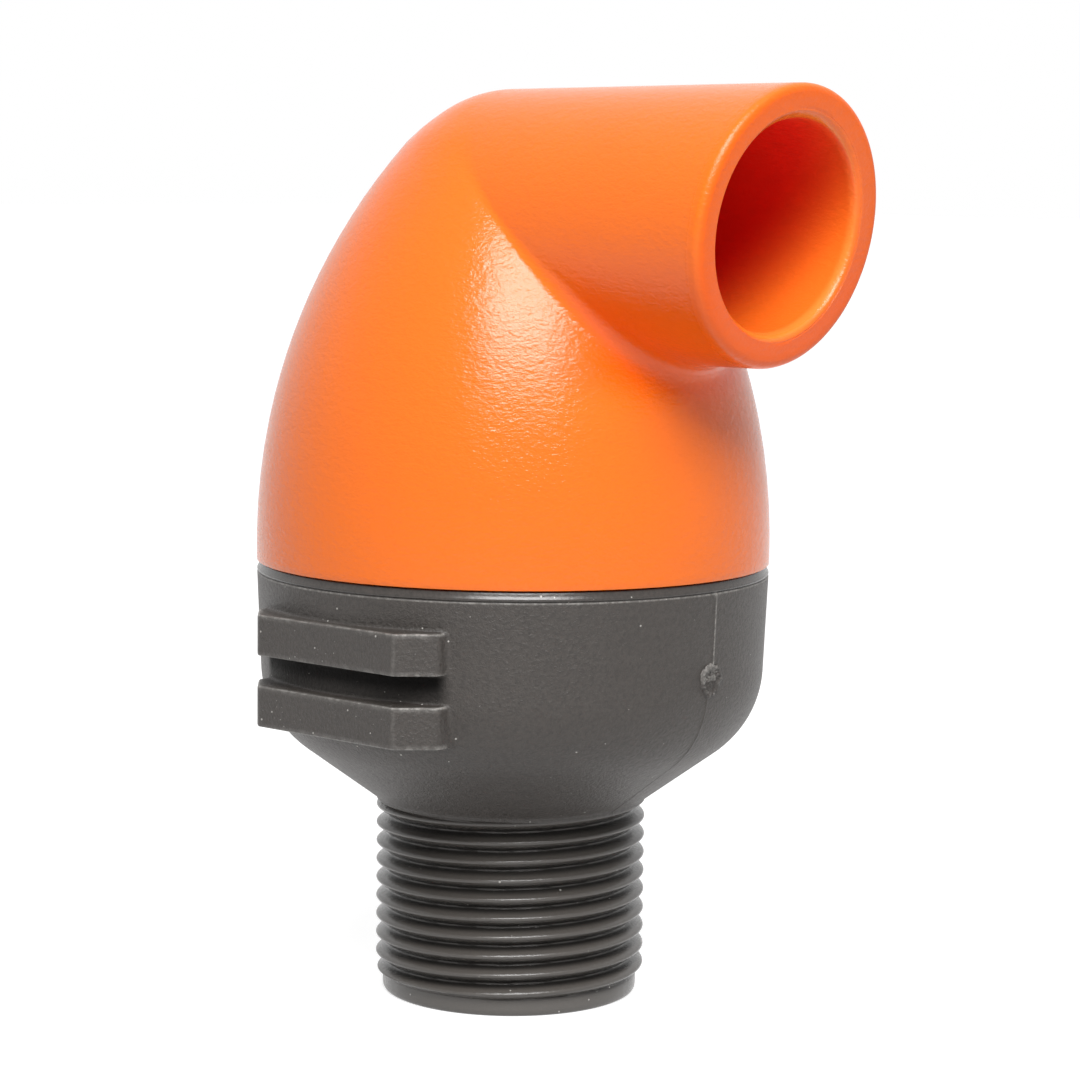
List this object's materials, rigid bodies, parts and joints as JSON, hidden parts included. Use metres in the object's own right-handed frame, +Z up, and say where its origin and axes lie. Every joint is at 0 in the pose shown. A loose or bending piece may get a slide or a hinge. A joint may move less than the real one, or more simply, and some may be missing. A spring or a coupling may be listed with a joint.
{
  "type": "air release valve",
  "caption": "Threaded air release valve: dark funnel base with wrench lugs, screw-on orange domed cap with slanted outlet spout, lifting cage, float and small orifice inside.",
  "frame": {"origin": "valve axis at the end face of the threaded inlet", "axes": "+Z up along the valve axis from inlet to cap, +X along the outlet spout"},
  "size_m": [0.0757, 0.065, 0.1113],
  "materials": {
    "base_grey": "matte moulded",
    "cap_orange": "satin moulded, fine leather grain",
    "rubber": "smooth",
    "acetal": "smooth moulded",
    "brass": "turned",
    "float_plastic": "smooth moulded"
  },
  "bodies": {
    "base": {"base": "base_grey"},
    "cap_seal": {"cap_o_ring": "rubber"},
    "cap": {"cap": "cap_orange", "orifice_seat": "acetal"},
    "cage": {"poppet_cage": "acetal", "main_seal": "rubber", "seal_retainer": "brass", "nozzle": "brass", "nozzle_o_ring": "rubber", "float_retainer": "acetal"},
    "float": {"float_shell": "float_plastic", "float_lid": "float_plastic", "float_pad": "rubber"}
  },
  "joints": [
    {"name": "cap_lift", "type": "slide", "parent": "base", "child": "cap_seal", "axis": [0, 0, 1], "range_m": [0, 0.006]},
    {"name": "cap_unscrew", "type": "hinge", "parent": "cap_seal", "child": "cap", "pos_m": [0, 0, 0.0535], "axis": [0, 0, 1], "range_deg": [0, 720]},
    {"name": "cage_lift", "type": "slide", "parent": "base", "child": "cage", "axis": [0, 0, 1], "range_m": [0, 0.0068]},
    {"name": "float_rise", "type": "slide", "parent": "cage", "child": "float", "axis": [0, 0, 1], "range_m": [0, 0.0029]}
  ],
  "couplings": [
    {"joint": "cap_lift", "follows": "cap_unscrew", "m_per_rad": 0.00047746}
  ]
}
